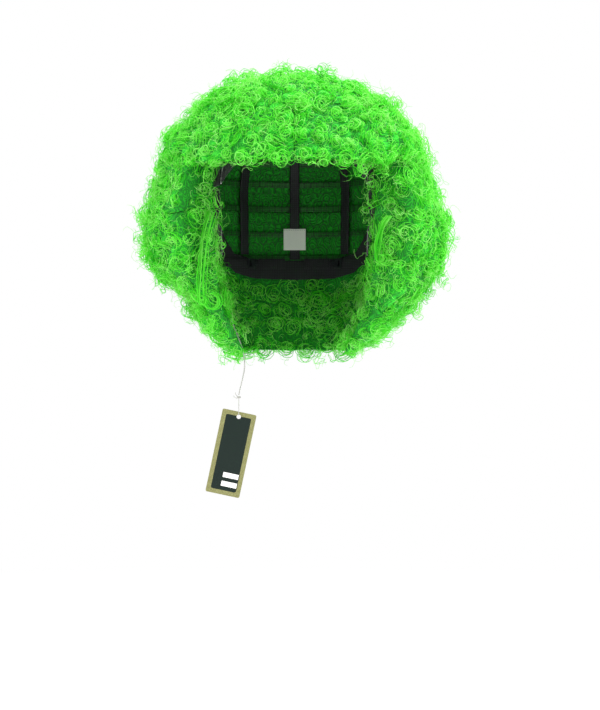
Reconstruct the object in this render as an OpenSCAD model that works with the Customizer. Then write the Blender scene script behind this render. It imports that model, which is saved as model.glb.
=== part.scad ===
// Curly afro costume wig on a wefted cap, with ear tabs, nape adjusters and a hang tag.
// Front faces -Y, +X is the wearer's left, +Z is up. The origin is the middle of the
// wearer's head at brow level, where a hat band would sit.

/* [Head that the cap fits] */
// Half width of the head, ear to ear
head_half_w = 76; // [68:1:92]
// Half depth of the head, brow to back
head_half_d = 97; // [86:1:117]
// Height of the crown above the brow
crown_h = 78; // [68:1:94]

/* [Hair] */
// How far the hair stands out beside the head
hair_side_t = 63; // [52:1:76]
// How far the hair stands out in front of the brow
hair_front_t = 34; // [28:1:41]
// How far the hair stands out behind the head
hair_back_t = 47; // [39:1:57]
// Thickness of the hair over the crown
hair_crown_t = 33; // [27:1:40]
// Drop from the brow to the hem of the hair
hem_drop = 150; // [142:1:180]
// Thickness of the hair at the hem
hem_t = 9; // [7:0.5:11]
// Height of the broad waves in the hair's outside
wave_h = 2.2; // [0:0.1:3]
// Gap between neighbouring bundles of hair, in degrees round the head
bundle_gap = 0.5; // [0.3:0.1:1]

/* [Cap] */
// Thickness of the bands against the head
band_t = 1.0; // [0.6:0.1:1.2]
// Thickness of the stretch net
net_t = 0.6; // [0.4:0.1:0.8]
// Thickness of a stitched weft
weft_t = 1.2; // [0.8:0.1:1.5]
// Height of a stitched weft
weft_h = 5; // [3:0.5:6]
// Clearance between one sewn layer and the next
layer_gap = 0.45; // [0.35:0.05:0.6]
// Thickness of a rib
rib_t = 0.7; // [0.4:0.1:0.8]
// Width of a rib
rib_w = 9; // [6:0.5:11]

/* [Ear tabs] */
// Length of an ear tab below the brow band
tab_l = 27; // [20:1:33]
// Thickness of one ply of an ear tab
tab_ply_t = 0.7; // [0.5:0.1:0.9]
// Thickness of the bendable stay
stay_t = 0.4; // [0.3:0.05:0.5]

/* [Adjusters] */
// Width of an adjuster strap
strap_w = 8; // [6:0.5:10]
// Thickness of an adjuster strap
strap_t = 1.1; // [0.8:0.1:1.4]
// Number of bars on each loop tape
loop_bars = 5; // [3:1:6]
// Thickness of the hook's plate
hook_t = 0.8; // [0.6:0.1:1.0]

/* [Hang tag] */
// Width of the card
tag_w = 31; // [24:1:38]
// Height of the card
tag_h = 76; // [60:1:92]
// Thickness of the card
tag_t = 0.6; // [0.4:0.1:1.0]
// Radius of the card's corners
tag_corner_r = 1.5; // [1:0.5:3]
// Diameter of the hole in the card
tag_hole_d = 4; // [3.5:0.5:5]
// From the card's top edge to the middle of its hole
tag_hole_drop = 4.5; // [4:0.5:8]
// Lean of the card as it hangs, in degrees
tag_lean = 12; // [0:1:15]
// Diameter of the twisted string
string_d = 1.2; // [0.8:0.1:1.4]

/* [Hidden] */
// Outside of the hair: an egg-shaped ball about the point (0, ball_y, ball_z).
ball_y = (hair_back_t - hair_front_t) / 2;
ball_d = head_half_d + (hair_back_t + hair_front_t) / 2;
ball_w = head_half_w + hair_side_t;
ball_top = crown_h + hair_crown_t;
hem_angle = 158;
ball_h = (ball_top + hem_drop) / (1 - cos(hem_angle));
ball_z = ball_top - ball_h;
hem_share = sin(hem_angle);

// Layers of the cap, as distances out from the head.
net_in = band_t + layer_gap;
weft_in = net_in + net_t + layer_gap;
hair_in = weft_in + weft_t + layer_gap;

// Edge of the cap: height above the brow at each turn away from the front.
RIM = [
  [0, 27], [30, 26], [45, 17], [58, 2], [76, 0], [98, -6],
  [108, -34], [118, -58], [132, -72], [150, -77], [180, -78]
];
// Height of the sewn band above that edge.
BAND = [[0, 16], [58, 14], [98, 14], [108, 24], [118, 24], [132, 18], [180, 18]];
// How the hair's inside narrows towards the neck: share of the drop, share of the head's width, then depth.
NARROW_W = [
  [0, 1], [0.35, 0.985], [0.55, 0.95], [0.68, 0.88], [0.84, 0.74],
  [1, (ball_w * hem_share - hem_t) / head_half_w]
];
NARROW_D = [
  [0, 1], [0.35, 0.95], [0.55, 0.84], [0.68, 0.74], [0.84, 0.62],
  [1, (ball_d * hem_share - hem_t) / head_half_d]
];
// How far round the ball each bundle's outside lies, so the hair by the face leans forward.
LEAN = [[0, 0], [58, 47], [120, 116], [180, 180]];
// Where on the ball the hair that grows at each height comes out.
SPREAD = [[-90, hem_angle], [0, 84], [20, 68], [50, 40], [90, 0]];

// Turns away from the front at which pieces start and end.
open_az = 58;
side_az = 120;
tab_from = 60;
tab_to = 76;
side_band_end = 117.6;
nape_band_from = 118.4;
// Heights, as angles on the head, at which the rows of hair bundles meet.
rows_el = [-90, -58, -32, -8, 20, 48];
row_gap = 0.4;
crown_el = rows_el[5] + row_gap;

// Adjusters lie along the nape at this height, and the label is sewn above them.
strap_z = -63;
strap_from = 117;
strap_to = 145;
hook_az = 145.5;
tape_from = 153;
tape_to = 173;
tape_t = 0.4;
tape_w = 10;
bar_t = 0.5;
bar_w = 1.6;
bar_gap = 0.2;
hook_gap = 0.7;
label_h = 20;
label_t = 0.4;
tape_in = -layer_gap;
bar_in = tape_in - tape_t - bar_gap;
strap_in = -layer_gap;
hook_in = min(strap_in - strap_t, bar_in - bar_t) - hook_gap;

// Route of the string from the side of the cap, down inside the hair and out under the hem.
string_route = [
  [-72, 22, -44], [-72, 21, -52], [-71, 18, -64], [-69, 14, -78], [-66, 10, -92],
  [-61, 6, -106], [-56, 3, -119], [-51, 0, -131], [-47, -2, -142], [-45, -3, -152],
  [-45, -4, -161], [-47, -4, -171], [-49, -5, -179], [-50, -5, -184]
];
knot_r = 1.6;
loop_wire_r = 0.4;
loop_r = 7;
knot_pos = string_route[len(string_route) - 1] - [0, 0, knot_r + 0.3];
loop_mid = knot_pos - [0, 0, knot_r + loop_r + loop_wire_r + 0.1];
hole_pos = loop_mid - [0, 0, loop_r - loop_wire_r - 0.15 + tag_hole_d / 2];
round_fn = 48;

// ---- Surfaces ----

// Angle on the head for a height above or below the brow.
function el_of(z) = z >= 0 ? asin(min(1, z / crown_h)) : z * 90 / hem_drop;

// A point beyond the head's skin by off, at turn az from the front and angle el.
function on_head(az, el, off) = el >= 0
  ? [
      (head_half_w + off) * cos(el) * sin(az),
      -(head_half_d + off) * cos(el) * cos(az),
      (crown_h + off) * sin(el)
    ]
  : let (share = -el / 90)
    [
      (head_half_w * lookup(share, NARROW_W) + off) * sin(az),
      ball_y * share - (head_half_d * lookup(share, NARROW_D) + off) * cos(az),
      -hem_drop * share
    ];

// Broad waves in the hair's outside, with a waist beside the brow and a fuller part below it.
function wave(az, polar) = wave_h * sin(5 * az + 40) * sin(4 * polar)
  - 7 * exp(-pow((polar - 76) / 10, 2)) * pow(sin(az), 2)
  + 4 * exp(-pow((polar - 104) / 16, 2)) * pow(sin(az), 2);

// Turn on the ball for a turn on the head, the same on both sides.
function leaned(az) = az > 180
  ? 360 - lookup(360 - az, LEAN)
  : az < 0 ? -lookup(-az, LEAN) : lookup(az, LEAN);

// A point on the hair's outside.
function on_hair(az, el) =
  let (polar = lookup(el, SPREAD), turn = leaned(az), w = wave(turn, polar))
  [
    (ball_w + w) * sin(polar) * sin(turn),
    ball_y - (ball_d + w) * sin(polar) * cos(turn),
    ball_z + ball_h * cos(polar)
  ];

// Turn from the front whatever side it is on, and the cap's edge there.
function off_front(az) = abs(az > 180 ? 360 - az : az);
function rim_el(az) = el_of(lookup(off_front(az), RIM));
function band_el(az) = el_of(lookup(off_front(az), RIM) + lookup(off_front(az), BAND));
function steps(from, to, n) = [for (i = [0:n]) from + (to - from) * i / n];

// ---- Solids between two grids of points ----

function quad(a, b, c, d) = [[a, b, c], [a, c, d]];

// Rows of the grids run up and columns run round. Two tips close the top to a point.
module between(inner, outer, tips = []) {
  rows = len(inner);
  cols = len(inner[0]);
  n = rows * cols;
  shut = len(tips) > 0;
  top = rows - 1;
  end = cols - 1;
  points = concat([for (r = inner) each r], [for (r = outer) each r], tips);
  function in(i, j) = i * cols + j;
  function out(i, j) = n + i * cols + j;
  walls = [
    for (i = [0:rows - 2]) for (j = [0:cols - 2]) each concat(
      quad(out(i, j), out(i + 1, j), out(i + 1, j + 1), out(i, j + 1)),
      quad(in(i, j), in(i, j + 1), in(i + 1, j + 1), in(i + 1, j))
    )
  ];
  ends = [
    for (i = [0:rows - 2]) each concat(
      quad(in(i, 0), in(i + 1, 0), out(i + 1, 0), out(i, 0)),
      quad(out(i + 1, end), in(i + 1, end), in(i, end), out(i, end))
    )
  ];
  base = [for (j = [0:cols - 2]) each quad(out(0, j), out(0, j + 1), in(0, j + 1), in(0, j))];
  flat_top = [for (j = [0:cols - 2]) each quad(out(top, j), in(top, j), in(top, j + 1), out(top, j + 1))];
  fans = [
    for (j = [0:cols - 2]) each [
      [out(top, j + 1), out(top, j), 2 * n + 1],
      [in(top, j), in(top, j + 1), 2 * n]
    ]
  ];
  fan_ends = concat(
    quad(in(top, 0), 2 * n, 2 * n + 1, out(top, 0)),
    quad(2 * n + 1, 2 * n, in(top, end), out(top, end))
  );
  polyhedron(points, concat(walls, ends, base, shut ? concat(fans, fan_ends) : flat_top));
}

// A curved strip of sewn material. low and high give its edges as angles at each turn.
module strip(from, to, cols, rows, low, high, off, thick) {
  turns = steps(from, to, cols);
  face = function(o) [
    for (i = [0:rows]) [for (a = turns) on_head(a, low(a) + (high(a) - low(a)) * i / rows, o)]
  ];
  between(face(off), face(off + thick));
}

// ---- Hair ----

// One bundle of curls, from just outside the wefts to the outside of the hair.
module bundle(from, to, low, high) {
  turns = steps(from + bundle_gap / 2, to - bundle_gap / 2, 3);
  heights = steps(low, high - row_gap, 4);
  between(
    [for (e = heights) [for (a = turns) on_head(a, e, hair_in)]],
    [for (e = heights) [for (a = turns) on_hair(a, e)]]
  );
}

// Bundles side by side, all from one row.
module bundles(from, to, count, row) {
  edges = steps(from, to, count);
  for (i = [0:count - 1]) bundle(edges[i], edges[i + 1], rows_el[row], rows_el[row + 1]);
}

// One wedge of the crown, which ends in a point at the top.
module crown_wedge(from, to) {
  turns = steps(from + bundle_gap / 2, to - bundle_gap / 2, 6);
  heights = steps(crown_el, 84, 5);
  side = bundle_gap * [sin((from + to) / 2), -cos((from + to) / 2), 0];
  between(
    [for (e = heights) [for (a = turns) on_head(a, e, hair_in)]],
    [for (e = heights) [for (a = turns) on_hair(a, e)]],
    [on_head(0, 90, hair_in) + side, on_hair(0, 90) + side]
  );
}

module hair_crown_front() color("limegreen") for (a = [-90, -30, 30]) crown_wedge(a, a + 60);
module hair_crown_back() color("limegreen") for (a = [90, 150, 210]) crown_wedge(a, a + 60);
module hair_fringe_left() color("lime") bundles(0, open_az, 2, 4);
module hair_fringe_right() color("lime") bundles(-open_az, 0, 2, 4);
module hair_top_left() color("limegreen") bundles(open_az, side_az, 2, 4);
module hair_top_right() color("limegreen") bundles(360 - side_az, 360 - open_az, 2, 4);
module hair_top_back() color("limegreen") bundles(side_az, 360 - side_az, 4, 4);
module hair_temple_left() color("lime") bundles(open_az, side_az, 2, 3);
module hair_temple_right() color("lime") bundles(360 - side_az, 360 - open_az, 2, 3);
module hair_cheek_left() color("limegreen") bundles(open_az, side_az, 2, 2);
module hair_cheek_right() color("limegreen") bundles(360 - side_az, 360 - open_az, 2, 2);
module hair_jaw_left() color("lime") bundles(open_az, side_az, 2, 1);
module hair_jaw_right() color("lime") bundles(360 - side_az, 360 - open_az, 2, 1);
module hair_neck_left() color("limegreen") bundles(open_az, side_az, 2, 0);
module hair_neck_right() color("limegreen") bundles(360 - side_az, 360 - open_az, 2, 0);
module hair_back_upper() color("lime") bundles(side_az, 360 - side_az, 4, 3);
module hair_back_middle() color("limegreen") bundles(side_az, 360 - side_az, 4, 2);
module hair_back_lower() color("lime") bundles(side_az, 360 - side_az, 4, 1);
module hair_nape() color("limegreen") bundles(side_az, 360 - side_az, 4, 0);

// ---- Cap ----

// The net is one dome that follows the cap's edge and closes over the crown.
module cap_net() color("black") {
  cols = 72;
  rows = 20;
  turns = steps(0, 360, cols);
  last_el = 82;
  at = function(a, i, off) on_head(a, rim_el(a) + (last_el - rim_el(a)) * i / rows, off);
  wrapped_dome(
    [for (i = [0:rows]) [for (k = [0:cols - 1]) at(turns[k], i, net_in)]],
    [for (i = [0:rows]) [for (k = [0:cols - 1]) at(turns[k], i, net_in + net_t)]],
    [on_head(0, 90, net_in), on_head(0, 90, net_in + net_t)]
  );
}

// A closed dome: the last column joins the first, and the tips close the top.
module wrapped_dome(inner, outer, tips) {
  rows = len(inner);
  cols = len(inner[0]);
  n = rows * cols;
  top = rows - 1;
  function in(i, j) = i * cols + j % cols;
  function out(i, j) = n + i * cols + j % cols;
  walls = [
    for (i = [0:rows - 2]) for (j = [0:cols - 1]) each concat(
      quad(out(i, j), out(i + 1, j), out(i + 1, j + 1), out(i, j + 1)),
      quad(in(i, j), in(i, j + 1), in(i + 1, j + 1), in(i + 1, j))
    )
  ];
  base = [for (j = [0:cols - 1]) each quad(out(0, j), out(0, j + 1), in(0, j + 1), in(0, j))];
  fans = [
    for (j = [0:cols - 1]) each [
      [out(top, j + 1), out(top, j), 2 * n + 1],
      [in(top, j), in(top, j + 1), 2 * n]
    ]
  ];
  points = concat([for (r = inner) each r], [for (r = outer) each r], tips);
  polyhedron(points, concat(walls, base, fans));
}

module band(from, to, cols, rows = 2)
  strip(from, to, cols, rows, function(a) rim_el(a), function(a) band_el(a), 0, band_t);

module front_band() color("black") band(-57.6, 57.6, 20);
module side_band_left() color("black") band(open_az + 0.4, side_band_end, 14);
module side_band_right() color("black") band(360 - side_band_end, 359.6 - open_az, 14);
module nape_band() color("black") band(nape_band_from, 360 - nape_band_from, 30, 4);

// A ribbon from the crown down to just above the bands.
module rib(az) color("black") {
  half = rib_w / 2 / head_half_w * 180 / PI;
  low = max(band_el(az - half), band_el(az), band_el(az + half)) + 1;
  strip(az - half, az + half, 2, 14, function(a) low, function(a) 64, 0, rib_t);
}

module rib_left() rib(104);
module rib_back_left() rib(142);
module rib_centre() rib(180);
module rib_back_right() rib(218);
module rib_right() rib(256);

// ---- Ear tabs ----

// Lower edge of a tab: rounded, lowest in its middle.
tab_mid = (tab_from + tab_to) / 2;
tab_rise = 8;
function tab_low(az) = el_of(-tab_l + tab_rise * pow((off_front(az) - tab_mid) / (tab_to - tab_mid), 2));
tab_top_z = -0.7;

// One layer of a tab, drawn in from the tab's own outline by inset degrees.
module tab_layer(from, to, off, thick, inset) {
  strip(
    from + inset, to - inset, 4, 2,
    function(a) tab_low(a) + 2 * inset,
    function(a) el_of(tab_top_z) - inset,
    off, thick
  );
}

module ear_tab(from, to) color("black") {
  tab_layer(from, to, 0, tab_ply_t, 0);
  tab_layer(from, to, tab_ply_t + stay_t + 0.4, tab_ply_t, 0);
}

module ear_stay(from, to) color("dimgray") tab_layer(from, to, tab_ply_t + 0.2, stay_t, 3);

module ear_tab_left() ear_tab(tab_from, tab_to);
module ear_tab_right() ear_tab(360 - tab_to, 360 - tab_from);
module ear_stay_left() ear_stay(tab_from, tab_to);
module ear_stay_right() ear_stay(360 - tab_to, 360 - tab_from);

// ---- Adjusters ----

// A flat strip along the nape, width high, whose outer face is off from the head.
module nape_strip(from, to, cols, width, off, thick) {
  low = el_of(strap_z - width / 2);
  high = el_of(strap_z + width / 2);
  strip(from, to, cols, 1, function(a) low, function(a) high, off - thick, thick);
}

module strap(from, to) color("black") nape_strip(from, to, 6, strap_w, strap_in, strap_t);
module strap_left() strap(strap_from, strap_to);
module strap_right() strap(360 - strap_to, 360 - strap_from);

// The hook: a plate with a sewing slot and a tongue, flat against the strap's end.
module hook_plate() {
  plate_w = strap_w + 1.5;
  plate_l = 8;
  tongue_l = 4;
  tongue_w = 3;
  slot_w = 2;
  difference() {
    union() {
      translate([-plate_l / 2, 0, -plate_w / 2]) cube([plate_l, hook_t, plate_w]);
      translate([plate_l / 2 - 0.01, 0, -tongue_w / 2]) cube([tongue_l, hook_t, tongue_w]);
      translate([plate_l / 2 + tongue_l, hook_t, 0])
        rotate([90, 0, 0]) cylinder(d = tongue_w, h = hook_t, $fn = round_fn);
    }
    translate([-plate_l / 4, -1, -strap_w / 2 + 1]) cube([slot_w, hook_t + 2, strap_w - 2]);
  }
}

// Heading of the nape's surface at a turn, as an angle about Z.
function heading(az) = atan2(head_half_d * sin(az), head_half_w * cos(az));

// How far the nape leans out as it rises, as an angle.
function nape_lean(az) =
  let (
    above = on_head(az, el_of(strap_z + strap_w / 2), 0),
    below = on_head(az, el_of(strap_z - strap_w / 2), 0),
    up = above - below
  )
  atan2(up.x * sin(heading(az)) - up.y * cos(heading(az)), strap_w);

module hook_left() color("gray")
  translate(on_head(hook_az, el_of(strap_z), hook_in))
    rotate([0, 0, heading(hook_az)]) rotate([nape_lean(hook_az), 0, 0]) hook_plate();
module hook_right() color("gray") mirror([1, 0, 0]) hook_left();

// A tape with raised woven bars that the hook catches.
module loop_tape(from, to) color("black") {
  nape_strip(from, to, 4, tape_w, tape_in, tape_t);
  pitch = (to - from) / loop_bars;
  half_bar = bar_w / 2 / head_half_w * 180 / PI;
  for (i = [0:loop_bars - 1]) {
    mid = from + pitch * (i + 0.5);
    nape_strip(mid - half_bar, mid + half_bar, 1, tape_w - 2, bar_in, bar_t);
  }
}

module loop_tape_left() loop_tape(tape_from, tape_to);
module loop_tape_right() loop_tape(360 - tape_to, 360 - tape_from);

// Blank label, sewn by its top edge to the middle of the back.
label_z = -50;
module size_label() color("white") {
  low = el_of(label_z);
  high = el_of(label_z + label_h);
  strip(172, 188, 4, 2, function(a) low, function(a) high, -layer_gap - label_t, label_t);
}

// ---- Wefts ----

// One row of stitched weft at a height above or below the brow.
module weft(from, to, cols, z) color("darkgreen")
  strip(from, to, cols, 1, function(a) el_of(z), function(a) el_of(z + weft_h), weft_in, weft_t);

module weft_crown() weft(92, 268, 16, 62);
module weft_fringe() weft(-60, 60, 14, 34);
module weft_top() weft(-85, 85, 18, 52);
module weft_temple_left() weft(64, 92, 4, 12);
module weft_temple_right() weft(268, 296, 4, 12);
module weft_back_1() weft(94, 266, 16, 44);
module weft_back_2() weft(96, 264, 16, 26);
module weft_back_3() weft(98, 262, 16, 8);
module weft_back_4() weft(106, 254, 14, -14);
module weft_back_5() weft(114, 246, 12, -38);
module weft_nape() weft(124, 236, 10, -60);

// ---- Hang tag ----

// A tube of eight sides along a list of points, with flat ends.
module tube(route, r) {
  sides = 8;
  last = len(route) - 1;
  function unit(v) = v / norm(v);
  function along(i) = unit(route[min(i + 1, last)] - route[max(i - 1, 0)]);
  function ring(i) = let (t = along(i), u = unit(cross(t, [0, 1, 0])), v = cross(t, u))
    [for (k = [0:sides - 1]) route[i] + r * (u * cos(k * 360 / sides) + v * sin(k * 360 / sides))];
  walls = [
    for (i = [0:last - 1]) for (k = [0:sides - 1]) each quad(
      i * sides + k, (i + 1) * sides + k, (i + 1) * sides + (k + 1) % sides, i * sides + (k + 1) % sides
    )
  ];
  first_end = [[for (k = [0:sides - 1]) k]];
  far_end = [[for (k = [sides - 1:-1:0]) last * sides + k]];
  polyhedron([for (i = [0:last]) each ring(i)], concat(walls, first_end, far_end));
}

// Points between the route's own points, so that the string bends gently.
function rounded(p) = [
  for (i = [0:len(p) - 2]) for (s = [0:3])
    let (a = p[max(i - 1, 0)], b = p[i], c = p[i + 1], d = p[min(i + 2, len(p) - 1)], u = s / 4)
    0.5 * (2 * b + (c - a) * u + (2 * a - 5 * b + 4 * c - d) * u * u + (3 * b - a - 3 * c + d) * u * u * u),
  p[len(p) - 1]
];

module tag_string() color("white") tube(rounded(string_route), string_d / 2);

// The knot, and the loop below it that runs through the card's hole.
module tag_loop() color("white") {
  translate(knot_pos) sphere(r = knot_r, $fn = round_fn);
  translate(loop_mid) rotate([0, 90, 0]) rotate_extrude($fn = round_fn)
    translate([loop_r, 0]) circle(r = loop_wire_r, $fn = round_fn);
}

// The card lies in the X-Z plane and leans about its hole.
module hang_tag() color("olive")
  translate(hole_pos) rotate([0, tag_lean, 0]) rotate([90, 0, 0]) translate([0, 0, -tag_t / 2])
    linear_extrude(tag_t) difference() {
      translate([-tag_w / 2, tag_hole_drop - tag_h]) card_outline();
      circle(d = tag_hole_d, $fn = round_fn);
    }

module card_outline() {
  translate([tag_corner_r, 0]) square([tag_w - 2 * tag_corner_r, tag_h]);
  translate([0, tag_corner_r]) square([tag_w, tag_h - 2 * tag_corner_r]);
  for (x = [tag_corner_r, tag_w - tag_corner_r]) for (y = [tag_corner_r, tag_h - tag_corner_r])
    translate([x, y]) circle(r = tag_corner_r, $fn = round_fn);
}

hair_crown_front();
hair_crown_back();
hair_fringe_left();
hair_fringe_right();
hair_top_left();
hair_top_right();
hair_top_back();
hair_temple_left();
hair_temple_right();
hair_cheek_left();
hair_cheek_right();
hair_jaw_left();
hair_jaw_right();
hair_neck_left();
hair_neck_right();
hair_back_upper();
hair_back_middle();
hair_back_lower();
hair_nape();
cap_net();
front_band();
side_band_left();
side_band_right();
nape_band();
rib_left();
rib_back_left();
rib_centre();
rib_back_right();
rib_right();
ear_tab_left();
ear_tab_right();
ear_stay_left();
ear_stay_right();
strap_left();
strap_right();
hook_left();
hook_right();
loop_tape_left();
loop_tape_right();
size_label();
weft_crown();
weft_fringe();
weft_top();
weft_temple_left();
weft_temple_right();
weft_back_1();
weft_back_2();
weft_back_3();
weft_back_4();
weft_back_5();
weft_nape();
tag_string();
tag_loop();
hang_tag();
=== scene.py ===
import math

import bmesh
import bpy
import numpy as np
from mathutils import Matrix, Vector
from mathutils.noise import voronoi


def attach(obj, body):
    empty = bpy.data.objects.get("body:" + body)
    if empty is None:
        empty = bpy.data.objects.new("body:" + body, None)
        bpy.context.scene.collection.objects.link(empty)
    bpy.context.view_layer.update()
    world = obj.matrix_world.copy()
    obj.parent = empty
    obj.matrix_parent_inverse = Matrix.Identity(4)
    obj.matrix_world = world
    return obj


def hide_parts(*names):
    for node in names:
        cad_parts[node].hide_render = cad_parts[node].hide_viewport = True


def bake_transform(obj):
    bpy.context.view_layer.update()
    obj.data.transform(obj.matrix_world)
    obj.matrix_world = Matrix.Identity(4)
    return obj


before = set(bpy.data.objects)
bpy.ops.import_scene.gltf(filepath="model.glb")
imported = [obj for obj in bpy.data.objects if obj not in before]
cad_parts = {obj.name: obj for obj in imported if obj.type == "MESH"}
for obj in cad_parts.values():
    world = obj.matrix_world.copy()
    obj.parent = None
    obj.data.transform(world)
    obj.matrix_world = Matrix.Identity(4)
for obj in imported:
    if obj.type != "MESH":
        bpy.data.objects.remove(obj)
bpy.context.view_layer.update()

MM = 0.001

# ---- Driving sizes, in millimetres and degrees, the same as the frame's ----

HEAD_HALF_W, HEAD_HALF_D, CROWN_H = 76, 97, 78
HAIR_SIDE_T, HAIR_FRONT_T, HAIR_BACK_T, HAIR_CROWN_T = 63, 34, 47, 33
HEM_DROP, HEM_T, HEM_ANGLE, WAVE_H = 150, 9, 158, 2.2
BAND_T, NET_T, WEFT_T, WEFT_H, LAYER_GAP = 1.0, 0.6, 1.2, 5, 0.45
RIB_T, RIB_W, RIB_TOP_EL = 0.7, 9, 64
TAB_L, TAB_RISE, TAB_FROM, TAB_TO, TAB_TOP_Z = 27, 8, 60, 76, -0.7
TAB_PLY_T, STAY_T, TAB_SLACK = 0.7, 0.4, 0.4
STRAP_W, STRAP_T, STRAP_Z, STRAP_FROM, STRAP_TO = 8, 1.1, -63, 117, 145
TAPE_W, TAPE_T, TAPE_FROM, TAPE_TO = 10, 0.4, 153, 173
BAR_T, BAR_W, BAR_GAP, LOOP_BARS = 0.5, 1.6, 0.2, 5
LABEL_Z, LABEL_H, LABEL_T, LABEL_FROM, LABEL_TO = -50, 20, 0.4, 172, 188
TAG_W, TAG_H, TAG_HOLE_D, TAG_HOLE_DROP, TAG_LEAN = 31, 76, 4, 4.5, 12
STRING_D, KNOT_R, LOOP_R, LOOP_WIRE_R = 1.2, 1.6, 7, 0.4
OPEN_AZ, SIDE_AZ, BUNDLE_GAP, ROW_GAP = 58, 120, 0.5, 0.4
ROWS_EL = [-90, -58, -32, -8, 20, 48, 90]

BALL_Y = (HAIR_BACK_T - HAIR_FRONT_T) / 2
BALL_D = HEAD_HALF_D + (HAIR_BACK_T + HAIR_FRONT_T) / 2
BALL_W = HEAD_HALF_W + HAIR_SIDE_T
BALL_TOP = CROWN_H + HAIR_CROWN_T
BALL_H = (BALL_TOP + HEM_DROP) / (1 - math.cos(math.radians(HEM_ANGLE)))
BALL_Z = BALL_TOP - BALL_H
HEM_SHARE = math.sin(math.radians(HEM_ANGLE))
NET_IN = BAND_T + LAYER_GAP
WEFT_IN = NET_IN + NET_T + LAYER_GAP
HAIR_IN = WEFT_IN + WEFT_T + LAYER_GAP

RIM = [
    (0, 27), (30, 26), (45, 17), (58, 2), (76, 0), (98, -6),
    (108, -34), (118, -58), (132, -72), (150, -77), (180, -78),
]
BAND = [(0, 16), (58, 14), (98, 14), (108, 24), (118, 24), (132, 18), (180, 18)]
NARROW_W = [
    (0, 1), (0.35, 0.985), (0.55, 0.95), (0.68, 0.88), (0.84, 0.74),
    (1, (BALL_W * HEM_SHARE - HEM_T) / HEAD_HALF_W),
]
NARROW_D = [
    (0, 1), (0.35, 0.95), (0.55, 0.84), (0.68, 0.74), (0.84, 0.62),
    (1, (BALL_D * HEM_SHARE - HEM_T) / HEAD_HALF_D),
]
LEAN = [(0, 0), (58, 47), (120, 116), (180, 180)]
SPREAD = [(-90, HEM_ANGLE), (0, 84), (20, 68), (50, 40), (90, 0)]

# The string's route, the same points as the frame's.
STRING_ROUTE = [
    (-72, 22, -44), (-72, 21, -52), (-71, 18, -64), (-69, 14, -78), (-66, 10, -92),
    (-61, 6, -106), (-56, 3, -119), (-51, 0, -131), (-47, -2, -142), (-45, -3, -152),
    (-45, -4, -161), (-47, -4, -171), (-49, -5, -179), (-50, -5, -184),
]


# ---- The head's and the hair's surfaces ----

def between(x, table):
    return np.interp(x, [row[0] for row in table], [row[1] for row in table])


def off_front(az):
    """Turn away from the front, whichever side it is on."""
    az = np.asarray(az, float)
    return np.abs(np.where(az > 180, 360 - az, az))


def el_of(z):
    """Angle on the head for a height above or below the brow."""
    z = np.asarray(z, float)
    up = np.degrees(np.arcsin(np.clip(z / CROWN_H, 0, 1)))
    return np.where(z >= 0, up, z * 90 / HEM_DROP)


def rim_z(az):
    return between(off_front(az), RIM)


def band_z(az):
    return rim_z(az) + between(off_front(az), BAND)


def on_head(az, el, off):
    """Points beyond the head's skin by off, at turn az from the front and angle el."""
    az, el, off = np.broadcast_arrays(
        np.asarray(az, float), np.asarray(el, float), np.asarray(off, float)
    )
    turn, rise = np.radians(az), np.radians(el)
    share = np.clip(-el / 90, 0, 1)
    above = np.stack([
        (HEAD_HALF_W + off) * np.cos(rise) * np.sin(turn),
        -(HEAD_HALF_D + off) * np.cos(rise) * np.cos(turn),
        (CROWN_H + off) * np.sin(rise),
    ], -1)
    below = np.stack([
        (HEAD_HALF_W * between(share, NARROW_W) + off) * np.sin(turn),
        BALL_Y * share - (HEAD_HALF_D * between(share, NARROW_D) + off) * np.cos(turn),
        -HEM_DROP * share,
    ], -1)
    return np.where((el >= 0)[..., None], above, below)


def on_hair(az, el):
    """Points on the hair's outside."""
    az, el = np.broadcast_arrays(np.asarray(az, float), np.asarray(el, float))
    near = np.sign(az) * between(np.abs(az), LEAN)
    leaned = np.where(az > 180, 360 - between(360 - az, LEAN), near)
    out = between(el, SPREAD)
    polar, turn = np.radians(out), np.radians(leaned)
    side = np.sin(turn) ** 2
    wave = WAVE_H * np.sin(5 * turn + math.radians(40)) * np.sin(4 * polar)
    waist = 7 * np.exp(-((out - 76) / 10) ** 2) * side
    fullness = 4 * np.exp(-((out - 104) / 16) ** 2) * side
    wave = wave - waist + fullness
    return np.stack([
        (BALL_W + wave) * np.sin(polar) * np.sin(turn),
        BALL_Y - (BALL_D + wave) * np.sin(polar) * np.cos(turn),
        BALL_Z + BALL_H * np.cos(polar),
    ], -1)


# ---- Meshes ----

def new_mesh(name, points, faces, material=None, merge=0.0):
    """A closed mesh object from points in millimetres, with its faces outwards."""
    mesh = bpy.data.meshes.new(name)
    mesh.from_pydata((np.asarray(points, float) * MM).tolist(), [], faces)
    work = bmesh.new()
    work.from_mesh(mesh)
    if merge:
        bmesh.ops.remove_doubles(work, verts=work.verts, dist=merge * MM)
    bmesh.ops.recalc_face_normals(work, faces=work.faces)
    work.to_mesh(mesh)
    work.free()
    mesh.shade_smooth()
    piece = bpy.data.objects.new(name, mesh)
    bpy.context.scene.collection.objects.link(piece)
    if material:
        mesh.materials.append(material)
    return piece


def joined(name, pieces):
    """One object from several, which keeps each one's materials."""
    bpy.ops.object.select_all(action="DESELECT")
    for piece in pieces:
        piece.select_set(True)
    bpy.context.view_layer.objects.active = pieces[0]
    bpy.ops.object.join()
    pieces[0].name = name
    return pieces[0]


def ring_faces(rings, sides, closed=False):
    """Faces that join rings of points, one after another, with capped ends."""
    faces = []
    for i in range(rings if closed else rings - 1):
        a, b = i * sides, (i + 1) % rings * sides
        for k in range(sides):
            n = (k + 1) % sides
            faces.append((a + k, a + n, b + n, b + k))
    if not closed:
        faces.append(tuple(reversed(range(sides))))
        faces.append(tuple(range((rings - 1) * sides, rings * sides)))
    return faces


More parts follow.
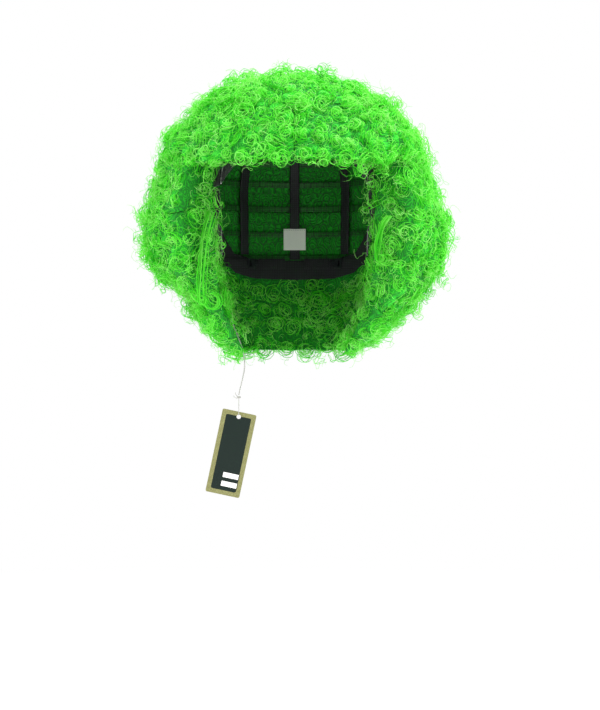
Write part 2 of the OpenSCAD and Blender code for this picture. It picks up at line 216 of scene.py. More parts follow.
def tube(name, path, radius, sides, material, closed=False):
    """A round thread along a path, turned as little as it can be."""
    path = np.asarray(path, float)
    along = np.gradient(path, axis=0)
    if closed:
        along = np.roll(path, -1, 0) - np.roll(path, 1, 0)
    along /= np.linalg.norm(along, axis=1)[:, None]
    side = np.cross(along[0], (0.31, 0.87, 0.38))
    angles = np.arange(sides) * 2 * math.pi / sides
    rings = []
    for point, t in zip(path, along):
        side = side - t * (side @ t)
        side /= np.linalg.norm(side)
        other = np.cross(t, side)
        ring = np.cos(angles)[:, None] * side + np.sin(angles)[:, None] * other
        rings.append(point + radius * ring)
    return new_mesh(name, np.concatenate(rings), ring_faces(len(path), sides, closed), material)


def strip(name, turns, low, high, off, thick, material, rows=8, ridge=0.0, pitch=1.5, crown=0.0):
    """A curved strip of sewn material round the head, with rounded edges.

    low and high are its edges' heights at each turn. ridge raises ribs across it, pitch apart,
    and crown swells its middle."""
    turns = np.asarray(turns, float)
    low, high = np.broadcast_to(low, turns.shape), np.broadcast_to(high, turns.shape)
    corner = np.radians([0, 30, 60, 90])
    r = min(0.35, thick * 0.45)
    middle = on_head(turns, el_of((low + high) / 2), off)
    run = np.concatenate([[0], np.cumsum(np.linalg.norm(np.diff(middle, axis=0), axis=1))])
    rings = []
    for az, z0, z1, s in zip(turns, low, high, run):
        wave = ridge * math.sin(s / pitch * 2 * math.pi)
        share = np.linspace(0, 1, rows + 1)[1:-1]
        up = z0 + r + (z1 - z0 - 2 * r) * share
        swell = (crown + wave) * np.sin(share * math.pi) ** 0.5
        z = np.concatenate([
            z0 + r - r * np.cos(corner), up, z1 - r + r * np.sin(corner),
            z1 - r + r * np.cos(corner), up[::-1], z0 + r - r * np.sin(corner),
        ])
        o = np.concatenate([
            off + r - r * np.sin(corner), off - swell, off + r - r * np.cos(corner),
            off + thick - r + r * np.sin(corner), off + thick + swell[::-1],
            off + thick - r + r * np.cos(corner),
        ])
        rings.append(on_head(az, el_of(z), o))
    sides = len(rings[0])
    points = np.concatenate(rings)
    return new_mesh(name, points, ring_faces(len(rings), sides), material, merge=0.001)


def turns_between(az0, az1, step):
    """Turns from az0 to az1, about step millimetres apart round the head."""
    return np.linspace(az0, az1, max(3, round(abs(az1 - az0) * 1.5 / step) + 1))


# ---- Nodes ----

def add(tree, kind, inputs=None, **settings):
    """Adds a node. inputs gives sockets, by name or number, a value or what feeds them."""
    node = tree.nodes.new(kind)
    for name, value in settings.items():
        setattr(node, name, value)
    for key, value in (inputs or {}).items():
        if isinstance(value, bpy.types.NodeSocket):
            tree.links.new(value, node.inputs[key])
        else:
            node.inputs[key].default_value = value
    return node


def colour(code):
    """A linear colour from an sRGB hex value."""
    parts = [int(code[i:i + 2], 16) / 255 for i in (1, 3, 5)]
    return [c / 12.92 if c <= 0.04045 else ((c + 0.055) / 1.055) ** 2.4 for c in parts] + [1.0]


def new_material(name, roughness, **sockets):
    """A material with its Principled shader. sockets sets uniform values on it."""
    material = bpy.data.materials.new(name)
    material.use_nodes = True
    tree = material.node_tree
    shader = tree.nodes["Principled BSDF"]
    shader.inputs["Roughness"].default_value = roughness
    for key, value in sockets.items():
        shader.inputs[key.replace("_", " ")].default_value = value
    return material, tree, shader


def ramp(tree, fac, stops):
    """A colour ramp through hex colours at the places given."""
    node = add(tree, "ShaderNodeValToRGB", {"Fac": fac})
    elements = node.color_ramp.elements
    while len(elements) < len(stops):
        elements.new(0.5)
    for element, (place, code) in zip(elements, stops):
        element.position = place
        element.color = colour(code)
    return node.outputs["Color"]


# ---- Materials ----

def hair_fibre():
    """Crimped modacrylic hair fibre: lime, with painted shade towards the roots and painted light towards
    the tips, and light passes through it.
    """
    material, tree, shader = new_material("modacrylic_hair_fibre", 0.5)
    # rise carries painted light and shade: low deep in the hair and at the roots, high at the tips and on
    # the outer curls.
    rise = add(tree, "ShaderNodeAttribute", attribute_name="rise").outputs["Fac"]
    shade = add(tree, "ShaderNodeAttribute", attribute_name="shade").outputs["Fac"]
    place = add(tree, "ShaderNodeTexCoord").outputs["Object"]
    patches = add(tree, "ShaderNodeTexNoise", {"Vector": place, "Scale": 38.0, "Detail": 3.0})
    lift = add(tree, "ShaderNodeMath", {0: shade, 1: 0.3, 2: rise}, operation="MULTIPLY_ADD")
    drift = add(tree, "ShaderNodeMath", {0: patches.outputs["Fac"], 1: 0.7, 2: lift.outputs[0]},
                operation="MULTIPLY_ADD")
    level = add(tree, "ShaderNodeMath", {0: drift.outputs[0], 1: 0.45}, operation="SUBTRACT")
    tint = ramp(tree, level.outputs[0], [
        (0.0, "#12A016"), (0.25, "#30CE1C"), (0.5, "#5CEE34"), (0.75, "#90FC62"), (1.0, "#BCFF98"),
    ])
    tree.links.new(tint, shader.inputs["Base Color"])
    shader.inputs["Specular IOR Level"].default_value = 0.2
    through = add(tree, "ShaderNodeBsdfTranslucent", {"Color": tint})
    fibre = add(tree, "ShaderNodeMixShader", {0: 0.4, 1: shader.outputs[0], 2: through.outputs[0]})
    tree.links.new(fibre.outputs[0], tree.nodes["Material Output"].inputs["Surface"])
    return material


def packed_curls():
    """The curls packed under the outer ones: painted a deeper green for the shade under the outer curls,
    with the same fibres as fine rings.
    """
    material, tree, shader = new_material("packed_hair_fibre", 0.8)
    rise = add(tree, "ShaderNodeAttribute", attribute_name="rise").outputs["Fac"]
    place = add(tree, "ShaderNodeTexCoord").outputs["Object"]
    bent = add(tree, "ShaderNodeTexNoise", {"Vector": place, "Scale": 160.0, "Detail": 3.0})
    push = add(tree, "ShaderNodeVectorMath", {0: bent.outputs["Color"], "Scale": 0.006}, operation="SCALE")
    moved = add(tree, "ShaderNodeVectorMath", {0: place, 1: push.outputs[0]}, operation="ADD")
    cells = add(tree, "ShaderNodeTexVoronoi", {"Vector": moved.outputs[0], "Scale": 85.0})
    rings = add(tree, "ShaderNodeMath", {0: cells.outputs["Distance"], 1: 34.0}, operation="MULTIPLY")
    wave = add(tree, "ShaderNodeMath", {0: rings.outputs[0]}, operation="SINE")
    # The rings lighten and darken the colour as painted highlight and shade along the fibres; rise adds
    # painted light on the bed's bulges and painted shade deep inside.
    line = add(tree, "ShaderNodeMath", {0: wave.outputs[0], 1: 0.2, 2: rise}, operation="MULTIPLY_ADD")
    tint = ramp(tree, line.outputs[0], [
        (0.0, "#047A16"), (0.2, "#0E9C16"), (0.45, "#20C01A"), (0.75, "#42DA2A"), (1.0, "#68EE42"),
    ])
    tree.links.new(tint, shader.inputs["Base Color"])
    bump = add(tree, "ShaderNodeBump", {"Height": wave.outputs[0], "Strength": 0.6, "Distance": 0.0006})
    tree.links.new(bump.outputs[0], shader.inputs["Normal"])
    return material


def woven(name, roughness, deep, pale, thread, sheen=0.0):
    """Woven or knitted cloth: threads cross, thread millimetres apart, with painted light pale on their
    tops and painted shade deep between them.
    """
    material, tree, shader = new_material(name, roughness)
    place = add(tree, "ShaderNodeTexCoord").outputs["Object"]
    size = 1 / (thread * MM)
    across = add(tree, "ShaderNodeTexWave", {"Vector": place, "Scale": size / 6.28, "Distortion": 0.6},
                 bands_direction="Z")
    down = add(tree, "ShaderNodeTexWave", {"Vector": place, "Scale": size / 6.28, "Distortion": 0.6},
               bands_direction="X")
    both = add(tree, "ShaderNodeMath", {
        0: across.outputs["Fac"], 1: down.outputs["Fac"],
    }, operation="MULTIPLY")
    worn = add(tree, "ShaderNodeTexNoise", {"Vector": place, "Scale": 60.0, "Detail": 4.0})
    level = add(tree, "ShaderNodeMath", {0: worn.outputs["Fac"], 1: 0.5, 2: both.outputs[0]},
                operation="MULTIPLY_ADD")
    # Painted light on the threads' tops and painted shade in the gaps between them.
    tint = ramp(tree, level.outputs[0], [(0.15, deep), (0.95, pale)])
    tree.links.new(tint, shader.inputs["Base Color"])
    bump = add(tree, "ShaderNodeBump", {"Height": both.outputs[0], "Strength": 0.5, "Distance": 0.0003})
    tree.links.new(bump.outputs[0], shader.inputs["Normal"])
    shader.inputs["Sheen Weight"].default_value = sheen
    shader.inputs["Sheen Roughness"].default_value = 0.35
    return material


def velvet():
    """Cotton velvet, cut short: black, with a pale bloom where the pile turns away."""
    return woven("cotton_velvet", 0.95, "#08090A", "#1B1D20", 0.7, sheen=0.8)


def two_ply_cotton():
    """Bleached cotton string, matt, with painted shade grey in the lay of its plies."""
    return woven("two_ply_cotton", 0.85, "#A6A6A0", "#D8D8D2", 0.5)


def polyester_thread():
    """Black sewing thread, smooth enough to catch a small light on each stitch."""
    return woven("polyester_thread", 0.6, "#101113", "#2B2D31", 0.4)


def knitted_elastic():
    """Knitted elastic: black and matt, with coarse ribs that open as it stretches."""
    return woven("knitted_elastic", 0.8, "#0B0B0D", "#26282C", 0.8)


def grosgrain_ribbon():
    """Grosgrain ribbon: black, with a cross rib and a faint shine."""
    return woven("grosgrain_ribbon", 0.7, "#0C0D0F", "#222428", 1.0)


def net_yarn():
    """Fine nylon yarn of the stretch net, near black."""
    return woven("nylon_net_yarn", 0.6, "#0E0F12", "#2A2C30", 0.5)


def polyester_satin():
    """White satin label, smooth and faintly glossy."""
    return woven("polyester_satin", 0.35, "#DADAD2", "#F6F6F0", 0.4)


def folded_weft():
    """Hair fibre folded and sewn flat in the wefts: a darker green than the hair."""
    return woven("folded_weft_fibre", 0.6, "#06400F", "#1E8A20", 0.8)


def moulded_nylon():
    """Moulded nylon: even, faintly pebbled, with a dull shine."""
    material, tree, shader = new_material("moulded_nylon", 0.4)
    place = add(tree, "ShaderNodeTexCoord").outputs["Object"]
    grain = add(tree, "ShaderNodeTexNoise", {"Vector": place, "Scale": 2500.0, "Detail": 2.0})
    tint = ramp(tree, grain.outputs["Fac"], [(0.3, "#15161A"), (0.7, "#24262B")])
    tree.links.new(tint, shader.inputs["Base Color"])
    bump = add(tree, "ShaderNodeBump", {
        "Height": grain.outputs["Fac"], "Strength": 0.3, "Distance": 0.0001,
    })
    tree.links.new(bump.outputs[0], shader.inputs["Normal"])
    return material


def printed_card():
    """Coated card, printed: a dull gold border round a dark green panel with two white boxes."""
    material, tree, shader = new_material("coated_card", 0.55, Specular_IOR_Level=0.2)
    hole = HOLE_POS * MM
    place = add(tree, "ShaderNodeTexCoord").outputs["Object"]
    flat = add(tree, "ShaderNodeMapping", {
        "Vector": place, "Location": hole, "Rotation": (0, math.radians(TAG_LEAN), 0),
    }, vector_type="TEXTURE").outputs[0]
    ground = add(tree, "ShaderNodeTexNoise", {"Vector": flat, "Scale": 900.0, "Detail": 3.0})
    tint = ramp(tree, ground.outputs["Fac"], [(0.3, "#7F7E50"), (0.7, "#949364")])
    middle = TAG_HOLE_DROP - TAG_H / 2
    boxes = [
        (0, middle, TAG_W - 8, TAG_H - 8, 1.6, "#15231E"),
        (4.0, -53.5, 15.5, 5.6, 0.2, "#0D1512"), (4.0, -61.5, 15.5, 5.6, 0.2, "#0D1512"),
        (4.0, -53.5, 14.2, 4.6, 0.2, "#F4F4F0"), (4.0, -61.5, 14.2, 4.6, 0.2, "#F4F4F0"),
    ]
    front = add(tree, "ShaderNodeSeparateXYZ", {0: flat})
    facing = add(tree, "ShaderNodeMath", {0: front.outputs["Y"], 1: 0.0}, operation="LESS_THAN")
    for x, z, w, h, r, code in boxes:
        half = ((w / 2 - r) * MM, 1.0, (h / 2 - r) * MM)
        away = add(tree, "ShaderNodeVectorMath", {0: flat, 1: (x * MM, 0, z * MM)}, operation="SUBTRACT")
        size = add(tree, "ShaderNodeVectorMath", {0: away.outputs[0]}, operation="ABSOLUTE")
        past = add(tree, "ShaderNodeVectorMath", {0: size.outputs[0], 1: half}, operation="SUBTRACT")
        over = add(tree, "ShaderNodeVectorMath", {0: past.outputs[0], 1: (0, 0, 0)}, operation="MAXIMUM")
        far = add(tree, "ShaderNodeVectorMath", {0: over.outputs[0]}, operation="LENGTH")
        inside = add(tree, "ShaderNodeMath", {0: far.outputs["Value"], 1: r * MM}, operation="LESS_THAN")
        mask = add(tree, "ShaderNodeMath", {
            0: inside.outputs[0], 1: facing.outputs[0],
        }, operation="MULTIPLY")
        mix = add(tree, "ShaderNodeMix", {0: mask.outputs[0], 6: tint, 7: colour(code)}, data_type="RGBA")
        tint = mix.outputs[2]
    tree.links.new(tint, shader.inputs["Base Color"])
    shader.inputs["Coat Weight"].default_value = 0.05
    shader.inputs["Coat Roughness"].default_value = 0.3
    return material


# ---- Geometry Nodes ----

def new_tree(name, numbers):
    """A Geometry Nodes tree with named inputs: geometry, numbers by name, and a material."""
    tree = bpy.data.node_groups.new(name, "GeometryNodeTree")
    sockets = tree.interface
    sockets.new_socket("Geometry", in_out="INPUT", socket_type="NodeSocketGeometry")
    for key, value in numbers.items():
        kind = "NodeSocketInt" if isinstance(value, int) else "NodeSocketFloat"
        sockets.new_socket(key, in_out="INPUT", socket_type=kind).default_value = value
    sockets.new_socket("Material", in_out="INPUT", socket_type="NodeSocketMaterial")
    sockets.new_socket("Geometry", in_out="OUTPUT", socket_type="NodeSocketGeometry")
    return tree, add(tree, "NodeGroupInput").outputs


def grown(name, source, tree, runs):
    """The plain mesh that a tree makes of a source, run once with each set of values."""
    for values in runs:
        step = source.modifiers.new(tree.name, "NODES")
        step.node_group = tree
        for item in tree.interface.items_tree:
            if item.in_out == "INPUT" and item.name in values:
                step[item.identifier] = values[item.name]
    graph = bpy.context.evaluated_depsgraph_get()
    mesh = bpy.data.meshes.new_from_object(source.evaluated_get(graph), depsgraph=graph)
    piece = bpy.data.objects.new(name, mesh)
    bpy.context.scene.collection.objects.link(piece)
    bpy.data.objects.remove(source)
    return piece


def ringlet_tree():
    """Scatters ringlets over a mesh's free faces and winds each from separate fibres."""
    tree, given = new_tree("ringlets", {
        "Spacing": 0.012, "Curl radius": 0.008, "Fibres": 6, "Turns": 2.0, "Fibre radius": 0.0003,
        "Points": 26, "Tilt": 0.8, "Lift": 1.0, "Frizz": 0.003, "Painted light": 0.0, "Seed": 1,
    })
    chance = {}
    for salt, (name, kind, low, high) in enumerate([
        ("lean", "FLOAT_VECTOR", (-1, -1, -1), (1, 1, 1)),
        ("across", "FLOAT_VECTOR", (-1, -1, -1), (1, 1, 1)),
        ("size", "FLOAT", 0.6, 1.2), ("height", "FLOAT", 0.4, 1.4), ("way", "FLOAT", -1.0, 1.0),
        ("phase", "FLOAT", 0.0, 1.8), ("reach", "FLOAT", 0.45, 1.15), ("wind", "FLOAT", 0.7, 1.3),
        ("shift", "FLOAT_VECTOR", (-0.35, -0.35, -0.35), (0.35, 0.35, 0.35)), ("shade", "FLOAT", 0.0, 1.0),
    ]):
        first, out = (0, 0) if kind == "FLOAT_VECTOR" else (2, 1)
        seed = add(tree, "ShaderNodeMath", {0: given["Seed"], 1: 11.0 + salt}, operation="ADD")
        node = add(tree, "FunctionNodeRandomValue", {first: low, first + 1: high, "Seed": seed.outputs[0]},
                   data_type=kind)
        chance[name] = node.outputs[out]

    free = add(tree, "GeometryNodeInputNamedAttribute", {"Name": "free"}, data_type="BOOLEAN")
    density = add(tree, "ShaderNodeMath", {0: 4.0, 1: given["Spacing"]}, operation="DIVIDE")
    density = add(tree, "ShaderNodeMath", {0: density.outputs[0], 1: given["Spacing"]}, operation="DIVIDE")
    spots = add(tree, "GeometryNodeDistributePointsOnFaces", {
        "Mesh": given["Geometry"], "Selection": free.outputs[0], "Distance Min": given["Spacing"],
        "Density Max": density.outputs[0], "Seed": given["Seed"],
    }, distribute_method="POISSON")
    aside = add(tree, "ShaderNodeVectorMath", {
        0: chance["lean"], "Scale": given["Tilt"],
    }, operation="SCALE")
    leaning = add(tree, "ShaderNodeVectorMath", {
        0: spots.outputs["Normal"], 1: aside.outputs[0],
    }, operation="ADD")
    axis = add(tree, "ShaderNodeVectorMath", {0: leaning.outputs[0]}, operation="NORMALIZE")
    crossed = add(tree, "ShaderNodeVectorMath", {
        0: axis.outputs[0], 1: chance["across"],
    }, operation="CROSS_PRODUCT")
    side = add(tree, "ShaderNodeVectorMath", {0: crossed.outputs[0]}, operation="NORMALIZE")
    hand = add(tree, "ShaderNodeMath", {0: chance["way"]}, operation="SIGN")
    place = add(tree, "GeometryNodeInputPosition")

    # Values kept for each ringlet, then for each of its fibres.
    ringlet_values = [
        ("root", "FLOAT_VECTOR", place.outputs[0]), ("axis", "FLOAT_VECTOR", axis.outputs[0]),
        ("side", "FLOAT_VECTOR", side.outputs[0]), ("size", "FLOAT", chance["size"]),
        ("height", "FLOAT", chance["height"]), ("hand", "FLOAT", hand.outputs[0]),
    ]
    fibre_values = [
        ("phase", "FLOAT", chance["phase"]), ("reach", "FLOAT", chance["reach"]),
        ("wind", "FLOAT", chance["wind"]),
        ("shift", "FLOAT_VECTOR", chance["shift"]), ("shade", "FLOAT", chance["shade"]),
    ]
    points = spots.outputs["Points"]
    for name, kind, value in ringlet_values:
        points = add(tree, "GeometryNodeStoreNamedAttribute", {
            "Geometry": points, "Name": name, "Value": value,
        }, data_type=kind).outputs[0]
    points = add(tree, "GeometryNodeDuplicateElements", {"Geometry": points, "Amount": given["Fibres"]},
                 domain="POINT").outputs["Geometry"]
    for name, kind, value in fibre_values:
        points = add(tree, "GeometryNodeStoreNamedAttribute", {
            "Geometry": points, "Name": name, "Value": value,
        }, data_type=kind).outputs[0]
    own = {}
    for name, kind, value in ringlet_values + fibre_values:
        own[name] = add(tree, "GeometryNodeInputNamedAttribute", {"Name": name}, data_type=kind).outputs[0]
    line = add(tree, "GeometryNodeCurvePrimitiveLine")
    line = add(tree, "GeometryNodeResampleCurve", {"Curve": line.outputs[0], "Count": given["Points"]})
    strands = add(tree, "GeometryNodeInstanceOnPoints", {"Points": points, "Instance": line.outputs[0]})
    strands = add(tree, "GeometryNodeRealizeInstances", {"Geometry": strands.outputs[0]})

    # Each fibre winds round its ringlet's axis and climbs it, closing in towards the tip.
    t = add(tree, "GeometryNodeSplineParameter").outputs["Factor"]
    radius = add(tree, "ShaderNodeMath", {0: given["Curl radius"], 1: own["size"]}, operation="MULTIPLY")
    closing = add(tree, "ShaderNodeMath", {0: t, 1: -0.5, 2: 1.0}, operation="MULTIPLY_ADD")
    wide = add(tree, "ShaderNodeMath", {0: radius.outputs[0], 1: own["reach"]}, operation="MULTIPLY")
    wide = add(tree, "ShaderNodeMath", {0: wide.outputs[0], 1: closing.outputs[0]}, operation="MULTIPLY")
    arm = add(tree, "ShaderNodeVectorMath", {0: own["side"], "Scale": wide.outputs[0]}, operation="SCALE")
    whole = add(tree, "ShaderNodeMath", {0: given["Turns"], 1: 2 * math.pi}, operation="MULTIPLY")
    whole = add(tree, "ShaderNodeMath", {0: whole.outputs[0], 1: own["wind"]}, operation="MULTIPLY")
    whole = add(tree, "ShaderNodeMath", {0: whole.outputs[0], 1: own["hand"]}, operation="MULTIPLY")
    angle = add(tree, "ShaderNodeMath", {
        0: whole.outputs[0], 1: t, 2: own["phase"],
    }, operation="MULTIPLY_ADD")
    turned = add(tree, "ShaderNodeVectorRotate", {"Vector": arm.outputs[0], "Axis": own["axis"],
                                                  "Angle": angle.outputs[0]})
    climb = add(tree, "ShaderNodeMath", {0: given["Lift"], 1: own["height"]}, operation="MULTIPLY")
    climb = add(tree, "ShaderNodeMath", {0: climb.outputs[0], 1: t, 2: -0.2}, operation="MULTIPLY_ADD")
    climb = add(tree, "ShaderNodeMath", {0: climb.outputs[0], 1: radius.outputs[0]}, operation="MULTIPLY")
    upward = add(tree, "ShaderNodeVectorMath", {
        0: own["axis"], "Scale": climb.outputs[0],
    }, operation="SCALE")
    spread = add(tree, "ShaderNodeVectorMath", {
        0: own["shift"], "Scale": radius.outputs[0],
    }, operation="SCALE")
    total = add(tree, "ShaderNodeVectorMath", {0: own["root"], 1: turned.outputs[0]}, operation="ADD")
    total = add(tree, "ShaderNodeVectorMath", {0: total.outputs[0], 1: upward.outputs[0]}, operation="ADD")
    total = add(tree, "ShaderNodeVectorMath", {0: total.outputs[0], 1: spread.outputs[0]}, operation="ADD")

    # The perm's crimp pushes it off that line.
    crimp = add(tree, "ShaderNodeTexNoise", {"Vector": total.outputs[0], "Scale": 150.0, "Detail": 2.0})
    crimp = add(tree, "ShaderNodeVectorMath", {
        0: crimp.outputs["Color"], 1: (0.5, 0.5, 0.5),
    }, operation="SUBTRACT")
    twice = add(tree, "ShaderNodeMath", {0: given["Frizz"], 1: 2.0}, operation="MULTIPLY")
    crimp = add(tree, "ShaderNodeVectorMath", {
        0: crimp.outputs[0], "Scale": twice.outputs[0],
    }, operation="SCALE")
    total = add(tree, "ShaderNodeVectorMath", {0: total.outputs[0], 1: crimp.outputs[0]}, operation="ADD")
    wound = add(tree, "GeometryNodeSetPosition", {
        "Geometry": strands.outputs[0], "Position": total.outputs[0],
    })
    # The colour level: painted shade at each fibre's root, painted light towards its tip, lifted further by
    # each sort's painted-light level.
    painted_light = add(tree, "ShaderNodeMath", {0: t, 1: 0.45, 2: given["Painted light"]}, operation="MULTIPLY_ADD")
    wound = add(tree, "GeometryNodeStoreNamedAttribute", {
        "Geometry": wound.outputs[0], "Name": "rise", "Value": painted_light.outputs[0],
    }, data_type="FLOAT")
    ends = add(tree, "ShaderNodeMath", {0: t, 1: 2.0, 2: -1.0}, operation="MULTIPLY_ADD")
    ends = add(tree, "ShaderNodeMath", {0: ends.outputs[0], 1: 6.0}, operation="POWER")
    taper = add(tree, "ShaderNodeMath", {0: ends.outputs[0], 1: -0.7, 2: 1.0}, operation="MULTIPLY_ADD")
    section = add(tree, "GeometryNodeCurvePrimitiveCircle", {
        "Resolution": 3, "Radius": given["Fibre radius"],
    })
    threads = add(tree, "GeometryNodeCurveToMesh", {
        "Curve": wound.outputs[0], "Profile Curve": section.outputs[0],
        "Scale": taper.outputs[0], "Fill Caps": True,
    })
    threads = add(tree, "GeometryNodeSetMaterial", {
        "Geometry": threads.outputs[0], "Material": given["Material"],
    })
    both = add(tree, "GeometryNodeJoinGeometry")
    tree.links.new(threads.outputs[0], both.inputs[0])
    tree.links.new(given["Geometry"], both.inputs[0])
    add(tree, "NodeGroupOutput", {"Geometry": both.outputs[0]})
    return tree


def stitch_tree():
    """Lays stitches along an edge path, each along the path or slanted across it."""
    tree, given = new_tree("stitches", {
        "Pitch": 0.0025, "Length": 0.0018, "Thread radius": 0.0002, "Slant": 0.0,
    })
    path = add(tree, "GeometryNodeMeshToCurve", {"Mesh": given["Geometry"]})
    marks = add(tree, "GeometryNodeCurveToPoints", {
        "Curve": path.outputs[0], "Length": given["Pitch"],
    }, mode="LENGTH")
    number = add(tree, "GeometryNodeInputIndex").outputs[0]
    odd = add(tree, "ShaderNodeMath", {0: number, 1: 2.0}, operation="MODULO")
    sign = add(tree, "ShaderNodeMath", {0: odd.outputs[0], 1: 2.0, 2: -1.0}, operation="MULTIPLY_ADD")
    swing = add(tree, "ShaderNodeMath", {0: sign.outputs[0], 1: given["Slant"]}, operation="MULTIPLY")
    turn = add(tree, "ShaderNodeCombineXYZ", {"Y": swing.outputs[0]})
    turn = add(tree, "FunctionNodeEulerToRotation", {0: turn.outputs[0]})
    facing = add(tree, "FunctionNodeRotateRotation", {
        "Rotation": marks.outputs["Rotation"], "Rotate By": turn.outputs[0],
    }, rotation_space="LOCAL")
    ball = add(tree, "GeometryNodeMeshUVSphere", {
        "Segments": 5, "Rings": 4, "Radius": given["Thread radius"],
    })
    share = add(tree, "ShaderNodeMath", {0: given["Length"], 1: given["Thread radius"]}, operation="DIVIDE")
    half = add(tree, "ShaderNodeMath", {0: share.outputs[0], 1: 0.5}, operation="MULTIPLY")
    size = add(tree, "ShaderNodeCombineXYZ", {"X": 1.0, "Y": 1.0, "Z": half.outputs[0]})
    laid = add(tree, "GeometryNodeInstanceOnPoints", {
        "Points": marks.outputs[0], "Instance": ball.outputs[0], "Rotation": facing.outputs[0],
        "Scale": size.outputs[0],
    })
    real = add(tree, "GeometryNodeRealizeInstances", {"Geometry": laid.outputs[0]})
    done = add(tree, "GeometryNodeSetMaterial", {
        "Geometry": real.outputs[0], "Material": given["Material"],
    })
    soft = add(tree, "GeometryNodeSetShadeSmooth", {"Geometry": done.outputs[0]})
    add(tree, "NodeGroupOutput", {"Geometry": soft.outputs[0]})
    return tree


def net_tree():
    """Turns a fine triangle mesh into a net of six-sided holes with round threads."""
    tree, given = new_tree("net", {"Thread radius": 0.0002})
    cells = add(tree, "GeometryNodeDualMesh", {"Mesh": given["Geometry"], "Keep Boundaries": True})
    lines = add(tree, "GeometryNodeMeshToCurve", {"Mesh": cells.outputs[0]})
    section = add(tree, "GeometryNodeCurvePrimitiveCircle", {
        "Resolution": 4, "Radius": given["Thread radius"],
    })
    threads = add(tree, "GeometryNodeCurveToMesh", {
        "Curve": lines.outputs[0], "Profile Curve": section.outputs[0], "Fill Caps": True,
    })
    done = add(tree, "GeometryNodeSetMaterial", {
        "Geometry": threads.outputs[0], "Material": given["Material"],
    })
    add(tree, "NodeGroupOutput", {"Geometry": done.outputs[0]})
    return tree


# ---- Camera, floor and light ----

def studio():
    """A level camera in front, a plain pale floor below, and soft light all round."""
    scene = bpy.context.scene
    scene.view_settings.view_transform = "Standard"
    distance, frame_height, sensor = 2.4, 0.639, 36.0
    camera = bpy.data.objects.new("camera", bpy.data.cameras.new("camera"))
    camera.data.sensor_width = sensor
    camera.data.lens = sensor * distance / frame_height
    camera.location = (0.005, -distance, -0.148)
    camera.rotation_euler = (math.pi / 2, 0, 0)
    scene.collection.objects.link(camera)
    scene.camera = camera

    world = bpy.data.worlds.new("studio")
    world.use_nodes = True
    scene.world = world
    tree = world.node_tree
    seen = add(tree, "ShaderNodeLightPath")
    either = add(tree, "ShaderNodeMath", {
        0: seen.outputs["Is Camera Ray"], 1: seen.outputs["Is Transmission Ray"],
    }, operation="MAXIMUM")
    either = add(tree, "ShaderNodeMath", {
        0: either.outputs[0], 1: seen.outputs["Is Glossy Ray"],
    }, operation="MAXIMUM")
    strength = add(tree, "ShaderNodeMath", {0: either.outputs[0], 1: 0.3, 2: 0.7}, operation="MULTIPLY_ADD")
    back = tree.nodes["Background"]
    back.inputs["Color"].default_value = (1, 1, 1, 1)
    tree.links.new(strength.outputs[0], back.inputs["Strength"])

    for name, place, size, power in (
        ("top", (0.3, -0.2, 1.5), 0.9, 24.0),
        ("left", (-1.3, -0.5, 0.3), 0.9, 12.0),
        ("right", (1.3, -0.5, 0.5), 0.9, 17.0),
        ("rear", (0.1, 1.3, 0.7), 1.0, 9.0),
    ):
        lamp = bpy.data.lights.new(name, "AREA")
        lamp.shape, lamp.size, lamp.energy = "DISK", size, power
        lamp_object = bpy.data.objects.new(name, lamp)
        lamp_object.location = place
        aim = Vector((0, 0, -0.05)) - Vector(place)
        lamp_object.rotation_euler = aim.to_track_quat("-Z", "Y").to_euler()
        scene.collection.objects.link(lamp_object)

    paper = bpy.data.materials.new("studio_paper")
    paper.use_nodes = True
    tree = paper.node_tree
    matt = tree.nodes["Principled BSDF"]
    matt.inputs["Base Color"].default_value = (0.9, 0.9, 0.9, 1)
    matt.inputs["Roughness"].default_value = 0.9
    bright = add(tree, "ShaderNodeEmission", {"Color": (1, 1, 1, 1), "Strength": 1.0})
    seen = add(tree, "ShaderNodeLightPath")
    place = add(tree, "ShaderNodeTexCoord").outputs["Object"]
    away = add(tree, "ShaderNodeVectorMath", {0: place}, operation="LENGTH")
    fade = add(tree, "ShaderNodeMapRange", {0: away.outputs["Value"], 1: 0.2, 2: 1.0, 3: 0.7, 4: 1.0})
    share = add(tree, "ShaderNodeMath", {
        0: seen.outputs["Is Camera Ray"], 1: fade.outputs[0],
    }, operation="MULTIPLY")
    lit = add(tree, "ShaderNodeMixShader", {0: share.outputs[0], 1: matt.outputs[0], 2: bright.outputs[0]})
    below = add(tree, "ShaderNodeNewGeometry").outputs["Backfacing"]
    clear = add(tree, "ShaderNodeBsdfTransparent")
    sheet = add(tree, "ShaderNodeMixShader", {0: below, 1: lit.outputs[0], 2: clear.outputs[0]})
    tree.links.new(sheet.outputs[0], tree.nodes["Material Output"].inputs["Surface"])
    bpy.ops.mesh.primitive_plane_add(size=12, location=(0, 0, -0.42))
    floor = bpy.context.object
    floor.name = "floor"
    floor.data.materials.append(paper)


# ---- Hang tag ----

def rounded(points, steps):
    """Points between a route's own points, so that it bends gently."""
    p = np.asarray(points, float)
    found = []
    for i in range(len(p) - 1):
        a, b, c, d = p[max(i - 1, 0)], p[i], p[i + 1], p[min(i + 2, len(p) - 1)]
        for s in range(steps):
            u = s / steps
            square = (2 * a - 5 * b + 4 * c - d) * u ** 2
            found.append((2 * b + (c - a) * u + square + (3 * b - a - 3 * c + d) * u ** 3) / 2)
    return np.array(found + [p[-1]])


ROUTE = rounded(STRING_ROUTE, 4)
KNOT_POS = ROUTE[-1] - (0, 0, KNOT_R + 0.3)
LOOP_MID = KNOT_POS - (0, 0, KNOT_R + LOOP_R + LOOP_WIRE_R + 0.1)
HOLE_POS = LOOP_MID - (0, 0, LOOP_R - LOOP_WIRE_R - 0.15 + TAG_HOLE_D / 2)


